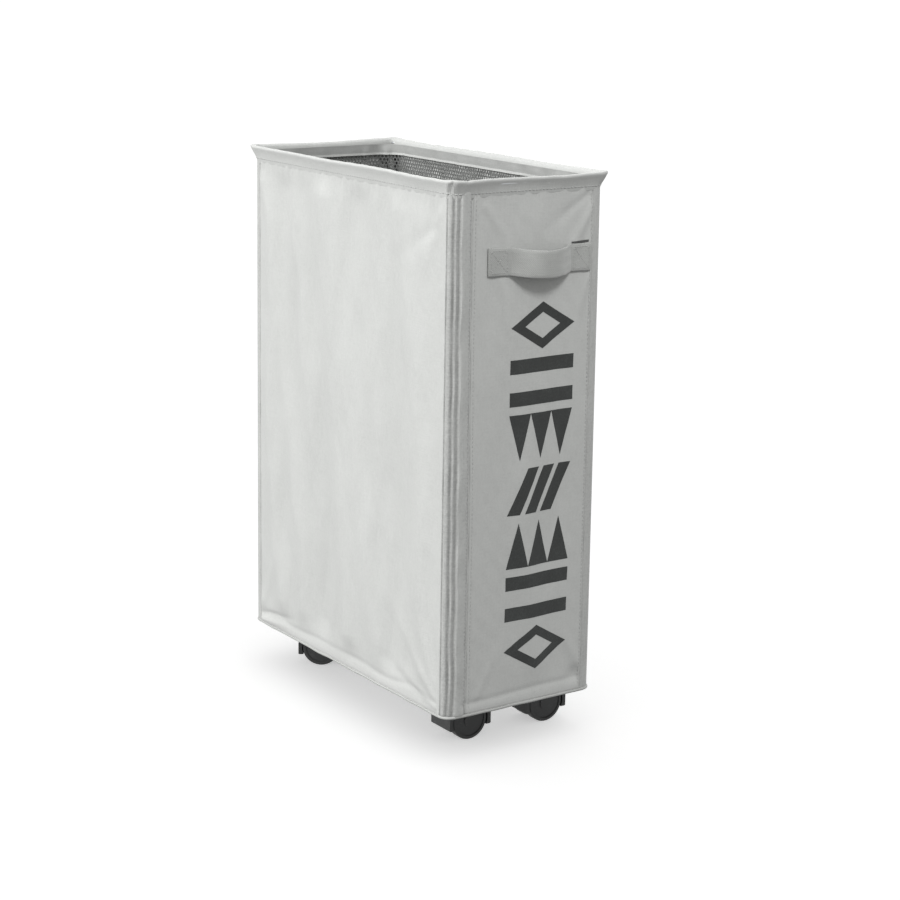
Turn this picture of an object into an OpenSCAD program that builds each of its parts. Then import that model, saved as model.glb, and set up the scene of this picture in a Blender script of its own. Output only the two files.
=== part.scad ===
// Slim rolling laundry hamper. A soft cloth bag hangs from a wire rim and four corner rods, and
// stands on a stiff base board with four twin-wheel casters.
// Millimetres. +Z is up, +Y runs along the long side, away from the printed narrow face.
// The origin is on the floor, under the centre of the bag.

/* [Bag] */
// Width of the bag across its narrow faces
bag_w = 180; // [178:1:260]
// Length of the bag along its long faces
bag_l = 380; // [320:1:520]
// Height of the bag, from its underside to the top of the rim
bag_h = 530; // [400:1:700]
// Radius of the bag's four upright corners, in plan
corner_r = 14; // [12:0.5:20]
// Thickness of the lined cloth of the walls and the floor
cloth_t = 2; // [1.5:0.1:3]

/* [Rim and hem] */
// Diameter of the wire in the rim
wire_d = 4; // [3:0.5:6]
// Diameter of the cloth bead that is turned over the wire
bead_d = 9; // [8:0.5:12]
// How far the bead stands out beyond the wall
bead_out = 4; // [2:0.5:4]
// Depth of the hem, from the top of the rim to its lower stitch line
hem_h = 18; // [14:1:30]
// Thickness of the hem's turned-over layer
hem_t = 1.2; // [0.8:0.1:2]

/* [Corner rods] */
// Diameter of the rods that hold the bag up
rod_d = 5; // [4:0.5:6]
// Wall of the plastic caps on the ends of the rods
cap_wall = 0.8; // [0.6:0.1:1.2]
// Height of a rod's cap
cap_h = 9; // [6:1:14]
// Cloth around the rod inside its sleeve
pocket_t = 1; // [0.8:0.1:1.5]
// How far the sleeve's overlap runs onto the narrow face beyond the rounded corner
sleeve_tail = 6; // [3:0.5:12]

/* [Mesh collar] */
// Gap between the collar and the wall
collar_gap = 3; // [2:0.5:6]
// Height of the collar's plain top band
collar_band_h = 14; // [8:1:50]
// Height of the mesh below the band
mesh_h = 130; // [60:1:220]
// Thickness of the collar's cloth
collar_t = 1; // [0.6:0.1:1.5]

/* [Base] */
// Thickness of the stiff base board
board_t = 9; // [8:0.5:14]
// Thickness of the padded lining on the board
lining_t = 2; // [1.5:0.5:4]
// Play between the board and the cloth around it
board_play = 0.5; // [0.3:0.1:1]
// Diameter of the cord in the piping around the bag's bottom edge
piping_d = 3; // [2:0.5:5]

/* [Handles] */
// Width of the webbing
strap_w = 27; // [20:1:40]
// Thickness of the webbing
strap_t = 2; // [1.5:0.1:3]
// Free length between the two sewn ends, measured straight
strap_span = 72; // [60:1:90]
// Length of each sewn end
strap_end = 26; // [20:1:30]
// How far the strap bows out from the wall
strap_bow = 18; // [14:1:30]
// Height of the strap's centre line below the top of the rim
strap_drop = 80; // [60:1:120]
// Distance from the handle's outer end to the wall's upright edge
handle_margin = 3.5; // [0:0.5:20]

/* [Print] */
// Width of the printed column
print_w = 77; // [50:1:90]
// Distance between two printed blocks
block_gap = 8.5; // [4:0.5:14]
// Distance from the highest block up to the handle
print_gap = 27.5; // [10:0.5:60]
// Height of the lowest block's foot above the bag's underside
print_foot = 36; // [25:1:80]
// Width of the printed strokes
stroke = 14; // [8:0.5:15]
// Distance from the printed column to the wall's upright edge
print_margin = 21; // [5:0.5:30]
// Thickness of the ink layer
ink_t = 0.3; // [0.2:0.05:0.5]

/* [Casters] */
// Height from the floor to the bag's underside
caster_h = 45; // [45:1:60]
// Wheel diameter
wheel_d = 41; // [34:0.5:41]
// Width of one wheel
wheel_w = 11; // [9:0.5:14]
// Horizontal distance from the swivel axis to the axle
trail = 18; // [16:0.5:20]
// Thickness of the hood's web between the two wheels
web_t = 10; // [9.5:0.5:14]
// Axle diameter
axle_d = 5; // [4:0.5:6]
// Stem diameter in the socket
stem_d = 8; // [7:0.5:10]
// Diameter of the stem's lower journal, which the hood turns on
journal_d = 6; // [5:0.5:7]
// Thickness of the hood's rim over the wheels
hood_t = 1.8; // [1.5:0.1:2.5]
// How far the hood's end lugs stand out past its inside
lug_t = 4; // [2.5:0.5:5]
// Distance of each swivel axis from the bag's long side
caster_in_x = 42; // [40:0.5:43]
// Distance of the front swivel axes from the bag's front
caster_front_y = 59; // [46:1:90]
// Distance of the back swivel axes from the bag's back
caster_back_y = 41; // [38:1:90]

/* [Hidden] */
$fn = 64;
CORNERS = ["front_left", "front_right", "back_left", "back_right"];
SIDES = ["front", "back", "left", "right"];

// Clearances
eps = 0.01;         // overshoot of a cutting tool
wire_play = 0.1;    // wire in the hem, on the radius
rod_play = 0.1;     // capped rod in its sleeve, on the radius
fit_play = 0.05;    // running and sliding fits, on the radius
body_gap = 0.3;     // between pieces that move past each other
wheel_gap = 0.6;    // between a wheel and the web, and outside it the hood's edge
tread_gap = 0.8;    // between the tread and the hood
seat_gap = 0.05;    // between trim and the wall that it is sewn to

// Heights of the layers, from the floor up
bag_bottom = caster_h;
floor_top = bag_bottom + cloth_t;
board_top = floor_top + board_t;
lining_top = board_top + lining_t;
rim_top = bag_bottom + bag_h;
wire_z = rim_top - bead_d / 2;
wall_top = rim_top - bead_d;
band_bottom = wire_z - collar_band_h;

// Rim path: it runs parallel to the wall's outline, inset by rim_inset
rim_inset = bead_d / 2 - bead_out;

// Rod sleeve: the rod's pocket sits in the corner, against the inside of the wall
cap_r = rod_d / 2 + cap_wall;
pocket_bore_r = cap_r + rod_play;
pocket_r = pocket_bore_r + pocket_t;
pocket_sink = 0.5;
rod_reach = corner_r - cloth_t - pocket_r + pocket_sink;
rod_foot = board_top + rod_play;
rod_head = wall_top - rod_play;
cap_end = 2;

// Collar and lining: their corners are rounded enough to pass inside the rod pockets
pocket_inner = (rod_reach - pocket_r) * cos(45);
pocket_clear = 1;
collar_in = cloth_t + collar_gap;
collar_r = past_rods_r(collar_in);
lining_in = cloth_t + board_play;

// Caster levels
wheel_r = wheel_d / 2;
hood_in_r = wheel_r + tread_gap;
hood_out_r = hood_in_r + hood_t;
collar_disc_t = 1;      // the stem's load-bearing collar, under the bag
collar_disc_r = 9;
stem_collar_z = caster_h - collar_disc_t;
hood_top = stem_collar_z - body_gap;
hood_skirt = 8;         // how far the hood comes down past the axle
lug_rise = 5;           // how far its end lugs go up past the axle
hood_skirt_z = wheel_r - hood_skirt;
hood_over = 0.4;        // how far the hood reaches beyond the wheels' outer faces
boss_r = 6;
boss_z = wheel_r + sqrt(pow(hood_in_r, 2) - pow(trail - boss_r, 2));
journal_lift = 6.5;     // from the axle's centre to the foot of the stem's journal
journal_foot = wheel_r + journal_lift;
hub_cap_t = 2.5;        // closed outer end of a wheel's bore
axle_end_gap = 0.5;
axle_reach = web_t / 2 + wheel_gap + wheel_w - hub_cap_t - axle_end_gap;
hood_half_w = web_t / 2 + wheel_gap + wheel_w + hood_over;

// Socket in the board
socket_wall = 2;
socket_r = stem_d / 2 + fit_play + socket_wall;
socket_flange_w = 4;
socket_flange_r = socket_r + socket_flange_w;
socket_flange_t = 1.2;
socket_roof = 1.6;
stem_top = board_top - socket_roof - body_gap;
ring_h = 1.6;
ring_lift = 3;          // from the bag's floor cloth to the ring
ring_z = floor_top + ring_lift;
ring_depth = 0.6;       // how deep the ring sits in the stem's groove
ring_stand = 0.45;      // how far it stands out of the groove

// Handle and print: both are set from the same upright edge of the wall
panel_edge = bag_w / 2 - corner_r;
strap_half = strap_span / 2 + strap_end - strap_t / 2;
handle_x = panel_edge - handle_margin - strap_half;
print_x = panel_edge - print_margin - print_w / 2;
block_count = 7;
strap_foot = rim_top - strap_drop - strap_w / 2;
print_z = bag_bottom + print_foot;
block_pitch = (strap_foot - print_gap - print_z + block_gap) / block_count;
block_h = block_pitch - block_gap;
diamond_share = 0.72;   // wall of the open diamond, as a share of a stroke

CLOTH = "#c9cac6";
CLOTH_DARK = "#a9aba7";
INK = "#303230";
PLASTIC = "#2a2c2b";
STEEL = "#9a9c9e";

// ---- Helpers ----

// Rectangle with round corners, centred
module round_rect(w, l, r) {
    square([w - 2 * r, l], center = true);
    square([w, l - 2 * r], center = true);
    for (x = [-1, 1], y = [-1, 1])
        translate([x * (w / 2 - r), y * (l / 2 - r)])
            circle(r);
}

// Rounding with which an outline, moved in by a distance, clears the rod pockets
function past_rods_r(inset) = (corner_r - inset - pocket_inner + pocket_clear) / (1 - cos(45));

// Outline of the bag, moved in by a distance
module bag_outline(inset, r = -1) {
    round_rect(bag_w - 2 * inset, bag_l - 2 * inset, r < 0 ? corner_r - inset : r);
}

// Round tube or rod that runs around the bag, parallel to its outline
module loop_rod(inset, d) {
    r = corner_r - inset;
    cx = bag_w / 2 - corner_r;
    cy = bag_l / 2 - corner_r;
    for (s = [-1, 1]) {
        translate([s * (cx + r), cy, 0])
            rotate([90, 0, 0])
                cylinder(d = d, h = 2 * cy);
        translate([-cx, s * (cy + r), 0])
            rotate([0, 90, 0])
                cylinder(d = d, h = 2 * cx);
        translate([cx, s * cy, 0])
            rotate([0, 0, s > 0 ? 0 : -90])
                rotate_extrude(angle = 90)
                    translate([r, 0])
                        circle(d = d);
        translate([-cx, s * cy, 0])
            rotate([0, 0, s > 0 ? 90 : 180])
                rotate_extrude(angle = 90)
                    translate([r, 0])
                        circle(d = d);
    }
}

// Prism that holds one side of the bag, mitred at the corners
module side_wedge(side) {
    cx = bag_w / 2 - corner_r;
    cy = bag_l / 2 - corner_r;
    far = 3 * corner_r;
    s = side == "front" || side == "left" ? -1 : 1;
    narrow = [[-cx, s * cy], [cx, s * cy], [cx + far, s * (cy + far)], [-cx - far, s * (cy + far)]];
    long = [[s * cx, -cy], [s * cx, cy], [s * (cx + far), cy + far], [s * (cx + far), -cy - far]];
    linear_extrude(rim_top + eps)
        polygon(side == "front" || side == "back" ? narrow : long);
}

// Centre of one corner's rounding, and of one caster's swivel: -1 or 1 for each axis
function side_x(corner) = corner == "front_left" || corner == "back_left" ? -1 : 1;
function side_y(corner) = corner == "front_left" || corner == "front_right" ? -1 : 1;
function swivel_x(corner) = side_x(corner) * (bag_w / 2 - caster_in_x);
function swivel_y(corner) =
    side_y(corner) < 0 ? caster_front_y - bag_l / 2 : bag_l / 2 - caster_back_y;

// The overlap of a sleeve shows at one of each pair of opposite corners
function tail(corner) = side_x(corner) * side_y(corner) > 0 ? sleeve_tail : 0;

// Direction in which each caster trails at rest
function rest_turn(corner) =
    corner == "back_left" ? -35 :
    corner == "back_right" ? 25 : 0;

// ---- Rim ----

module rim_wire() {
    color(STEEL)
        translate([0, 0, wire_z])
            loop_rod(rim_inset, wire_d);
}

// One side of the hem: the bead around the wire and the layer that is sewn down outside
module hem(side) {
    color(CLOTH)
        intersection() {
            difference() {
                union() {
                    translate([0, 0, wire_z])
                        loop_rod(rim_inset, bead_d);
                    translate([0, 0, rim_top - hem_h])
                        linear_extrude(hem_h - bead_d / 2)
                            difference() {
                                bag_outline(-seat_gap - hem_t);
                                bag_outline(-seat_gap);
                            }
                }
                translate([0, 0, wire_z])
                    loop_rod(rim_inset, wire_d + 2 * wire_play);
            }
            side_wedge(side);
        }
}

// ---- Walls ----

module narrow_panel(side) {
    s = side == "front" ? -1 : 1;
    left = s < 0 ? sleeve_tail : 0;
    right = s < 0 ? 0 : sleeve_tail;
    half = bag_w / 2 - corner_r;
    color(CLOTH)
        translate([-half + left, s > 0 ? bag_l / 2 - cloth_t : -bag_l / 2, floor_top])
            cube([2 * half - left - right, cloth_t, wall_top - floor_top]);
}

module long_panel(side) {
    half = bag_l / 2 - corner_r;
    color(CLOTH)
        translate([side == "left" ? -bag_w / 2 : bag_w / 2 - cloth_t, -half, floor_top])
            cube([cloth_t, 2 * half, wall_top - floor_top]);
}

// Puts a corner piece drawn about the rounding's centre at +X, +Y in its own corner
module in_corner(corner) {
    translate([side_x(corner) * (bag_w / 2 - corner_r), side_y(corner) * (bag_l / 2 - corner_r), 0])
        mirror([side_x(corner) < 0 ? 1 : 0, 0, 0])
            mirror([0, side_y(corner) < 0 ? 1 : 0, 0])
                children();
}

module at_rod() {
    translate([rod_reach * cos(45), rod_reach * sin(45), 0])
        children();
}

// Rounded corner of the bag, with the pocket that holds the rod
module corner_sleeve(corner) {
    color(CLOTH_DARK)
        in_corner(corner)
            difference() {
                union() {
                    translate([0, 0, floor_top])
                        linear_extrude(wall_top - floor_top) {
                            intersection() {
                                difference() {
                                    circle(corner_r);
                                    circle(corner_r - cloth_t);
                                }
                                square(corner_r + 1);
                            }
                            if (tail(corner) > 0)
                                translate([-tail(corner), corner_r - cloth_t])
                                    square([tail(corner), cloth_t]);
                        }
                    translate([0, 0, board_top])
                        at_rod()
                            cylinder(r = pocket_r, h = wall_top - board_top);
                }
                translate([0, 0, board_top - eps])
                    at_rod()
                        cylinder(r = pocket_bore_r, h = wall_top - board_top + 2 * eps);
            }
}

module corner_rod(corner) {
    foot = rod_foot + cap_end;
    color(STEEL)
        in_corner(corner)
            at_rod()
                translate([0, 0, foot])
                    cylinder(d = rod_d, h = rod_head - cap_end - foot);
}

module rod_cap() {
    difference() {
        cylinder(r = cap_r, h = cap_h);
        translate([0, 0, cap_end])
            cylinder(r = rod_d / 2 + fit_play, h = cap_h);
    }
}

module rod_caps() {
    color(PLASTIC)
        for (corner = CORNERS)
            in_corner(corner)
                at_rod() {
                    translate([0, 0, rod_foot])
                        rod_cap();
                    translate([0, 0, rod_head])
                        mirror([0, 0, 1])
                            rod_cap();
                }
}

// ---- Collar ----

module collar_ring(bottom, top) {
    translate([0, 0, bottom])
        linear_extrude(top - bottom)
            difference() {
                bag_outline(collar_in, collar_r);
                bag_outline(collar_in + collar_t, collar_r - collar_t);
            }
}

module collar_band() {
    color(CLOTH_DARK)
        collar_ring(band_bottom, wire_z);
}

module mesh_collar() {
    color("#8b8d8a")
        collar_ring(band_bottom - mesh_h, band_bottom);
}

// ---- Base ----

module at_swivels() {
    for (corner = CORNERS)
        translate([swivel_x(corner), swivel_y(corner), 0])
            children();
}

module bag_floor() {
    color(CLOTH)
        difference() {
            translate([0, 0, bag_bottom])
                linear_extrude(cloth_t)
                    bag_outline(0);
            at_swivels()
                translate([0, 0, bag_bottom - eps])
                    cylinder(r = socket_r + fit_play, h = cloth_t + 2 * eps);
        }
}

module bottom_piping() {
    color(CLOTH)
        translate([0, 0, bag_bottom + piping_d / 2])
            loop_rod(-seat_gap - piping_d / 2, piping_d);
}

module base_board() {
    color("#6b5a45")
        difference() {
            translate([0, 0, floor_top])
                linear_extrude(board_t)
                    bag_outline(cloth_t + board_play);
            at_swivels() {
                translate([0, 0, floor_top - eps])
                    cylinder(r = socket_r + fit_play, h = board_t + 2 * eps);
                translate([0, 0, board_top - socket_flange_t])
                    cylinder(r = socket_flange_r + fit_play, h = socket_flange_t + eps);
            }
        }
}

module floor_lining() {
    color(CLOTH_DARK)
        translate([0, 0, board_top])
            linear_extrude(lining_t)
                bag_outline(lining_in, past_rods_r(lining_in));
}

// ---- Handles ----

// Plan of a handle on the front face: two sewn ends and a bowed span between them
module strap_plan() {
    half = strap_span / 2;
    bow_r = (pow(half, 2) + pow(strap_bow, 2)) / (2 * strap_bow);
    for (s = [-1, 1])
        translate([s > 0 ? strap_half - strap_end : -strap_half, -strap_t])
            square([strap_end, strap_t]);
    intersection() {
        translate([0, bow_r - strap_bow])
            difference() {
                circle(bow_r, $fn = 128);
                circle(bow_r - strap_t, $fn = 128);
            }
        translate([-half, -strap_bow - 1])
            square([strap_span, strap_bow + 1]);
    }
}

module handle(s) {
    rotate([0, 0, s < 0 ? 0 : 180])
        translate([handle_x, -bag_l / 2 - seat_gap, strap_foot])
            linear_extrude(strap_w)
                strap_plan();
}

module front_handle() {
    color("#a6a8a3")
        handle(-1);
}

module back_handle() {
    color("#a6a8a3")
        handle(1);
}

// ---- Print: a column of plain geometric blocks ----

// Diamond with a diamond-shaped hole
module diamond_block() {
    w = print_w / 2;
    h = block_h / 2;
    k = 1 - diamond_share * stroke / h;
    difference() {
        polygon([[-w, 0], [0, -h], [w, 0], [0, h]]);
        polygon([[-w * k, 0], [0, -h * k], [w * k, 0], [0, h * k]]);
    }
}

// Row of three triangles that point up or down
module triangle_block(up) {
    step = print_w / 3;
    for (i = [-1 : 1])
        translate([i * step, 0])
            polygon([
                [-step / 2, -up * block_h / 2],
                [step / 2, -up * block_h / 2],
                [0, up * block_h / 2]
            ]);
}

// Two level bars
module bar_block() {
    for (s = [-1, 1])
        translate([0, s * (block_h - stroke) / 2])
            square([print_w, stroke], center = true);
}

// Row of slanted bars
module slant_block() {
    lean = block_h / 2;
    count = 3;
    step = (print_w - lean - stroke) / (count - 1);
    for (i = [0 : count - 1])
        translate([i * step - print_w / 2, -block_h / 2])
            polygon([[0, 0], [stroke, 0], [stroke + lean, block_h], [lean, block_h]]);
}

module print_block(i) {
    if (i == 0 || i == block_count - 1)
        diamond_block();
    else if (i == 1 || i == block_count - 2)
        bar_block();
    else if (i == 3)
        slant_block();
    else
        triangle_block(i < 3 ? 1 : -1);
}

module front_print() {
    color(INK)
        translate([print_x, -bag_l / 2, print_z + block_h / 2])
            rotate([90, 0, 0])
                linear_extrude(ink_t)
                    for (i = [0 : block_count - 1])
                        translate([0, i * block_pitch])
                            print_block(i);
}

// ---- Casters: each is drawn with its swivel axis on Z and its axle towards +X ----

module at_caster(corner) {
    translate([swivel_x(corner), swivel_y(corner), 0])
        rotate([0, 0, rest_turn(corner)])
            children();
}

// Turns a solid of revolution about Z onto the axle, with its +Z towards -Y
module on_axle() {
    translate([trail, 0, wheel_r])
        rotate([90, 0, 0])
            children();
}

module socket(corner) {
    color(PLASTIC)
        at_caster(corner)
            difference() {
                union() {
                    translate([0, 0, bag_bottom])
                        cylinder(r = socket_r, h = board_top - bag_bottom);
                    translate([0, 0, board_top - socket_flange_t])
                        cylinder(r = socket_flange_r, h = socket_flange_t);
                }
                translate([0, 0, bag_bottom - eps])
                    cylinder(r = stem_d / 2 + fit_play, h = board_top - socket_roof - bag_bottom + eps);
                translate([0, 0, ring_z - ring_depth])
                    cylinder(r = stem_d / 2 + ring_stand + fit_play, h = ring_h + 2 * ring_depth);
            }
}

// Pin that plugs into the socket, with the collar that carries the load and the swivel journal
module stem(corner) {
    chamfer = 0.6;
    neck_r = stem_d / 2 - ring_depth;
    color(STEEL)
        at_caster(corner)
            rotate_extrude()
                polygon([
                    [0, journal_foot],
                    [journal_d / 2 - chamfer, journal_foot],
                    [journal_d / 2, journal_foot + chamfer],
                    [journal_d / 2, stem_collar_z],
                    [collar_disc_r, stem_collar_z],
                    [collar_disc_r, bag_bottom],
                    [stem_d / 2, bag_bottom],
                    [stem_d / 2, ring_z],
                    [neck_r, ring_z],
                    [neck_r, ring_z + ring_h],
                    [stem_d / 2, ring_z + ring_h],
                    [stem_d / 2, stem_top - chamfer],
                    [stem_d / 2 - chamfer, stem_top],
                    [0, stem_top]
                ]);
}

// Split spring ring in the stem's groove
module grip_ring(corner) {
    slot = 1.2;
    color("#b9bbbd")
        at_caster(corner)
            translate([0, 0, ring_z + fit_play])
                difference() {
                    cylinder(r = stem_d / 2 + ring_stand, h = ring_h - 2 * fit_play);
                    translate([0, 0, -eps])
                        cylinder(r = stem_d / 2 - ring_depth + fit_play, h = ring_h);
                    translate([0, -slot / 2, -eps])
                        cube([stem_d, slot, ring_h]);
                }
}

// Lugs at the two ends of the hood
module hood_lugs() {
    bevel = 0.8;
    slope = 4;
    reach = hood_in_r + lug_t;
    for (s = [0, 1])
        mirror([s, 0, 0])
            linear_extrude(2 * hood_half_w, center = true)
                polygon([
                    [hood_in_r, -hood_skirt],
                    [reach - bevel, -hood_skirt],
                    [reach, -hood_skirt + bevel],
                    [reach, lug_rise],
                    [hood_in_r, lug_rise + slope]
                ]);
}

// Web between the wheels, with the curved hood over them and the swivel boss
module hood(corner) {
    lip = 1;
    color(PLASTIC)
        at_caster(corner)
            difference() {
                union() {
                    difference() {
                        on_axle() {
                            translate([0, 0, -web_t / 2])
                                cylinder(r = hood_in_r + eps, h = web_t);
                            rotate_extrude()
                                polygon([
                                    [hood_in_r, -hood_half_w],
                                    [hood_out_r - lip, -hood_half_w],
                                    [hood_out_r, -hood_half_w + lip],
                                    [hood_out_r, hood_half_w - lip],
                                    [hood_out_r - lip, hood_half_w],
                                    [hood_in_r, hood_half_w]
                                ]);
                        }
                        translate([trail, 0, hood_skirt_z - hood_out_r])
                            cube([3, 3, 2] * hood_out_r, center = true);
                    }
                    translate([0, 0, hood_skirt_z])
                        cylinder(d = web_t, h = hood_top - hood_skirt_z);
                    translate([0, 0, boss_z])
                        cylinder(r = boss_r, h = hood_top - boss_z);
                    on_axle()
                        hood_lugs();
                }
                translate([0, 0, journal_foot - body_gap])
                    cylinder(r = journal_d / 2 + fit_play, h = hood_top - journal_foot + 1);
                on_axle()
                    translate([0, 0, -web_t])
                        cylinder(d = axle_d, h = 2 * web_t);
            }
}

module axle(corner) {
    chamfer = 0.4;
    color(STEEL)
        at_caster(corner)
            on_axle()
                rotate_extrude()
                    polygon([
                        [0, -axle_reach],
                        [axle_d / 2 - chamfer, -axle_reach],
                        [axle_d / 2, -axle_reach + chamfer],
                        [axle_d / 2, axle_reach - chamfer],
                        [axle_d / 2 - chamfer, axle_reach],
                        [0, axle_reach]
                    ]);
}

// Half section of a wheel. The inner face is at 0, and the outer face is at wheel_w
module wheel_section() {
    edge = 1.6;
    rim_wall = 2.6;
    hub_r = axle_d / 2 + 3.2;
    disc_t = 3;
    dish = 0.8;
    dish_in_r = 7;
    difference() {
        union() {
            square([wheel_r - edge, wheel_w]);
            translate([0, edge])
                square([wheel_r, wheel_w - 2 * edge]);
            for (y = [edge, wheel_w - edge])
                translate([wheel_r - edge, y])
                    circle(edge, $fn = 32);
        }
        translate([hub_r, -eps])
            square([wheel_r - rim_wall - hub_r, wheel_w - disc_t + eps]);
        translate([dish_in_r, wheel_w - dish])
            square([wheel_r - rim_wall - 1 - dish_in_r, dish + eps]);
        translate([-eps, -eps])
            square([axle_d / 2 + fit_play + eps, wheel_w - hub_cap_t + eps]);
    }
}

module wheel(corner, s) {
    color("#383a39")
        at_caster(corner)
            on_axle()
                mirror([0, 0, s < 0 ? 1 : 0])
                    translate([0, 0, web_t / 2 + wheel_gap])
                        rotate_extrude($fn = 96)
                            wheel_section();
}

// ---- Assembly ----

rim_wire();
rod_caps();
bag_floor();
bottom_piping();
base_board();
floor_lining();
collar_band();
mesh_collar();
front_handle();
back_handle();
front_print();
narrow_panel("front");  // front_panel
narrow_panel("back");  // back_panel
long_panel("left");  // left_panel
long_panel("right");  // right_panel
for (side = SIDES)
    hem(side);
for (corner = CORNERS) {
    corner_sleeve(corner);
    corner_rod(corner);
    socket(corner);
    stem(corner);
    grip_ring(corner);
    hood(corner);
    axle(corner);
    wheel(corner, 1);
    wheel(corner, -1);
}
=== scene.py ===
"""Looks of a slim rolling laundry hamper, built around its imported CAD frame.

Lengths are in mm until a mesh is made.
"""
import functools
import math

import bpy
import numpy as np
from mathutils import Matrix, Vector
from mathutils.geometry import delaunay_2d_cdt


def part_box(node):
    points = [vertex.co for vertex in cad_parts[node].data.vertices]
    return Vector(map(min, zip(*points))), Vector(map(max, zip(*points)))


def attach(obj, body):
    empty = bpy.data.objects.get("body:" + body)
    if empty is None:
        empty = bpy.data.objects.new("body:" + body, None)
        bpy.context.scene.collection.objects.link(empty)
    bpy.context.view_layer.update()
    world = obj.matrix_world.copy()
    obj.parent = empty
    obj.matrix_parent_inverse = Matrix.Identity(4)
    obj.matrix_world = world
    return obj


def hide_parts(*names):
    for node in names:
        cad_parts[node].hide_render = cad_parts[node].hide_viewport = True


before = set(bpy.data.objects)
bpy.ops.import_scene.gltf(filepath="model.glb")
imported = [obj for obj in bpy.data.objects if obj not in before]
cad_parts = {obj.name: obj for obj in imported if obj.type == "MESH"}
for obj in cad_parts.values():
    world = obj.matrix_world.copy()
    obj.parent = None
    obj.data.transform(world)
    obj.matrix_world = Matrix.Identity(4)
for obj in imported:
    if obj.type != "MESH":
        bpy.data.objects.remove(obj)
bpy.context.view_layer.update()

MM = 0.001
CORNERS = ("front_left", "front_right", "back_left", "back_right")
PI = math.pi


def marks(lengths):
    """Where each of a row of lengths begins, and where the last one ends."""
    return np.concatenate([[0.0], np.cumsum(lengths)])


def box_mm(node):
    """Lowest and highest corner of a CAD node, in mm."""
    lo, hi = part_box(node)
    return np.array(lo) / MM, np.array(hi) / MM


# ---- camera

CAM_AT = (-1202.7, -1802.3, 796.4)
CAM_AZ, CAM_EL, CAM_ROLL = map(math.radians, (34.62, 13.68, 0.90))
CAM_LENS = 84.73


def add_camera():
    level = math.cos(CAM_EL)
    look = Vector((math.sin(CAM_AZ) * level, math.cos(CAM_AZ) * level, -math.sin(CAM_EL)))
    right = look.cross(Vector((0, 0, 1))).normalized()
    up = right.cross(look)
    c, s = math.cos(CAM_ROLL), math.sin(CAM_ROLL)
    right, up = c * right + s * up, -s * right + c * up
    data = bpy.data.cameras.new("camera")
    data.lens, data.sensor_width = CAM_LENS, 36
    cam = bpy.data.objects.new("camera", data)
    axes = Matrix((right, up, -look)).transposed().to_4x4()
    axes.translation = Vector(CAM_AT) * MM
    cam.matrix_world = axes
    bpy.context.scene.collection.objects.link(cam)
    bpy.context.scene.camera = cam


add_camera()

# ---- sizes from the frame

FLOOR_LO, FLOOR_HI = box_mm("bag_floor")
HEM_LO, HEM_HI = box_mm("front_hem")
HALF_W, HALF_L = FLOOR_HI[0], FLOOR_HI[1]
BAG_Z, FLOOR_TOP, RIM_Z = FLOOR_LO[2], FLOOR_HI[2], HEM_HI[2]
HEM_Z = HEM_LO[2]
BEAD_R = 4.5        # of the hem round the rim wire
WALL_TOP = RIM_Z - 2 * BEAD_R

# Perimeter coordinate s: 0 where the front face's flat begins at its left, then anticlockwise from above.
# MARKS are its values at the ends of the flats and corners
NOM_R = 12.0
LEN_F = 2 * (HALF_W - NOM_R)
LEN_S = 2 * (HALF_L - NOM_R)
LEN_C = PI / 2 * NOM_R
MARKS = marks([LEN_F, LEN_C, LEN_S, LEN_C] * 2)
TOTAL = MARKS[-1]
SEAM_S = 10.9       # seam of the sleeve's overlap, past the corner, on the narrow face
EDGE_S = 3.5        # seams of the plain corner sleeves, on both sides of the corner


def grids(*values):
    """Numbers and arrays as float arrays of one shape."""
    return np.broadcast_arrays(*(np.asarray(v, float) for v in values))


def u_of(s):
    """ring()'s u for a perimeter coordinate."""
    return np.interp(np.mod(s, TOTAL), MARKS, np.arange(9.0))


def ring(u, hx, hy, r):
    """Points and outward normals on a rounded rectangle.

    u is 0-1 along the front, 1-2 round its right corner, and so on.
    """
    u = np.mod(u, 8.0)
    seg = np.minimum(np.floor(u).astype(int), 7)
    f = u - seg
    ax, ay = hx - r, hy - r
    turn = PI / 2 * ((seg - 1) / 2 - 1 + f)
    flat = [seg == 0, seg == 2, seg == 4, seg == 6]
    bend = [seg == 1, seg == 3, seg == 5, seg == 7]
    one = np.ones_like(u)
    nx = np.select(flat, [0 * one, one, 0 * one, -one], np.cos(turn))
    ny = np.select(flat, [-one, 0 * one, one, 0 * one], np.sin(turn))
    x = np.select(flat + bend, [-ax + 2 * ax * f, hx * one, ax - 2 * ax * f, -hx * one] + [
        k * ax + r * np.cos(turn) for k in (1, 1, -1, -1)])
    y = np.select(flat + bend, [-hy * one, -ay + 2 * ay * f, hy * one, ay - 2 * ay * f] + [
        k * ay + r * np.sin(turn) for k in (-1, 1, 1, -1)])
    return x, y, nx, ny


def on_ring(u, size, out, z):
    """Points at height z on a rounded rectangle of size (hx, hy, r), moved outward by out."""
    x, y, nx, ny = ring(u, *size)
    return np.stack(np.broadcast_arrays(x + nx * out, y + ny * out, z), -1)


def waves(a, b, seed, a_len, b_len, count=6):
    """Smooth field of about unit height: plane waves with fixed phases."""
    rng = np.random.default_rng(seed)
    total = 0.0
    for _ in range(count):
        la, lb = a_len * rng.uniform(0.6, 1.7), b_len * rng.uniform(0.6, 1.7) * rng.choice([-1, 1])
        total = total + np.sin(2 * PI * (a / la + b / lb + rng.random()))
    return total / math.sqrt(count)


def ripple(a, seed, length, count):
    """Waves along one direction only."""
    return waves(a, 0, seed, length, 1e9, count)


def step(x):
    """Smooth step from 0 at 0 to 1 at 1."""
    x = np.clip(x, 0, 1)
    return x * x * (3 - 2 * x)


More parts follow.
